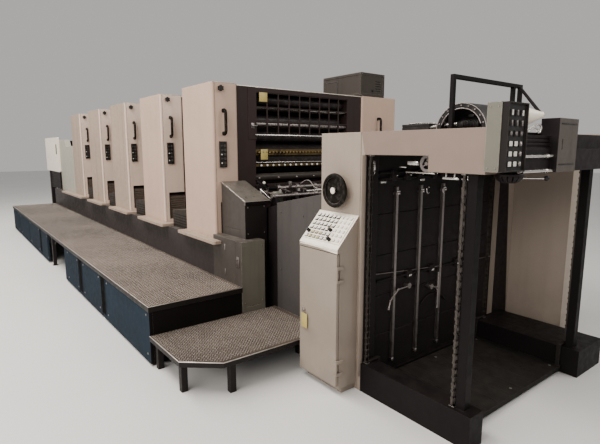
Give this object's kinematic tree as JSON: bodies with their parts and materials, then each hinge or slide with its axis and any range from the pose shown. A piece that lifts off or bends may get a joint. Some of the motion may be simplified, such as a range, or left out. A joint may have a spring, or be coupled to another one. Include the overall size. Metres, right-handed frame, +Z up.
{
  "type": "offset printing press",
  "caption": "Sheet-fed offset printing press: feeder, line of covered printing units on a bed with a raised walkway, and a delivery with console and pile board.",
  "frame": {"origin": "on the floor, under the middle of the machine's bounding box", "axes": "+X from the feeder to the delivery, +Y from the operator's side to the drive side, +Z up"},
  "size_m": [9.8, 2.94, 2.24],
  "materials": {
    "cream_paint": "satin",
    "dark_paint": "satin",
    "bed_paint": "satin",
    "blue_panel": "satin",
    "checker_plate": "brushed",
    "grey_paint": "satin",
    "grey_green_paint": "satin",
    "white_paint": "satin",
    "black_plastic": "matte",
    "bright_steel": "brushed",
    "chain_steel": "oiled",
    "roller_rubber": "matte",
    "key_brass": "worn",
    "pallet_board": "worn"
  },
  "bodies": {
    "press": {"press_bed": "bed_paint", "walkway_deck": "checker_plate", "walkway_panels": "blue_panel", "walkway_frame": "dark_paint", "entry_step": "checker_plate", "footplates": "cream_paint", "unit_1_covers": "cream_paint", "unit_2_covers": "cream_paint", "unit_3_covers": "cream_paint", "unit_4_covers": "cream_paint", "unit_5_covers": "cream_paint", "unit_1_body": "dark_paint", "unit_2_body": "dark_paint", "unit_3_body": "dark_paint", "unit_4_body": "dark_paint", "unit_5_body": "dark_paint", "transfer_guards": "dark_paint", "roller_train": "roller_rubber", "ink_key_rows": "key_brass", "roller_guards": "dark_paint", "grab_handles": "black_plastic", "unit_controls": "black_plastic", "motor_box": "grey_paint", "end_cabinet": "bed_paint", "sloped_cover": "grey_green_paint", "chain_housing": "dark_paint", "chain_side_panels": "grey_paint", "gripper_linkage": "bright_steel", "console_cabinet": "cream_paint", "console_panel": "white_paint", "delivery_operator_frame": "cream_paint", "delivery_drive_frame": "cream_paint", "delivery_core": "dark_paint", "control_box": "grey_green_paint", "delivery_end_beam": "dark_paint", "hoist_chains": "chain_steel", "delivery_base_frame": "dark_paint", "backstop_rods": "bright_steel", "overhead_frame": "dark_paint", "blower_cowl": "black_plastic", "feeder_frame": "dark_paint", "feeder_side_panels": "white_paint", "feeder_head": "dark_paint", "feeder_pile_board": "pallet_board", "infeed_cover": "cream_paint"},
    "door": {"console_door": "cream_paint"},
    "wheel": {"handwheel": "black_plastic"},
    "board": {"pile_board": "dark_paint"},
    "lever": {"sheet_lever": "bright_steel"}
  },
  "joints": [
    {"name": "handwheel_turn", "type": "hinge", "parent": "press", "child": "wheel", "pos_m": [3.85, -0.607, 1.23], "axis": [0, -1, 0], "continuous": true},
    {"name": "console_door_swing", "type": "hinge", "parent": "press", "child": "door", "pos_m": [4.017, -0.729, 0.4], "axis": [0, 0, 1], "range_deg": [0, 110]},
    {"name": "pile_board_lift", "type": "slide", "parent": "press", "child": "board", "axis": [0, 0, 1], "range_m": [0, 1.1]},
    {"name": "sheet_lever_swing", "type": "hinge", "parent": "press", "child": "lever", "pos_m": [4.76, -0.2, 1.335], "axis": [0, 0, 1], "range_deg": [-25, 25]}
  ]
}
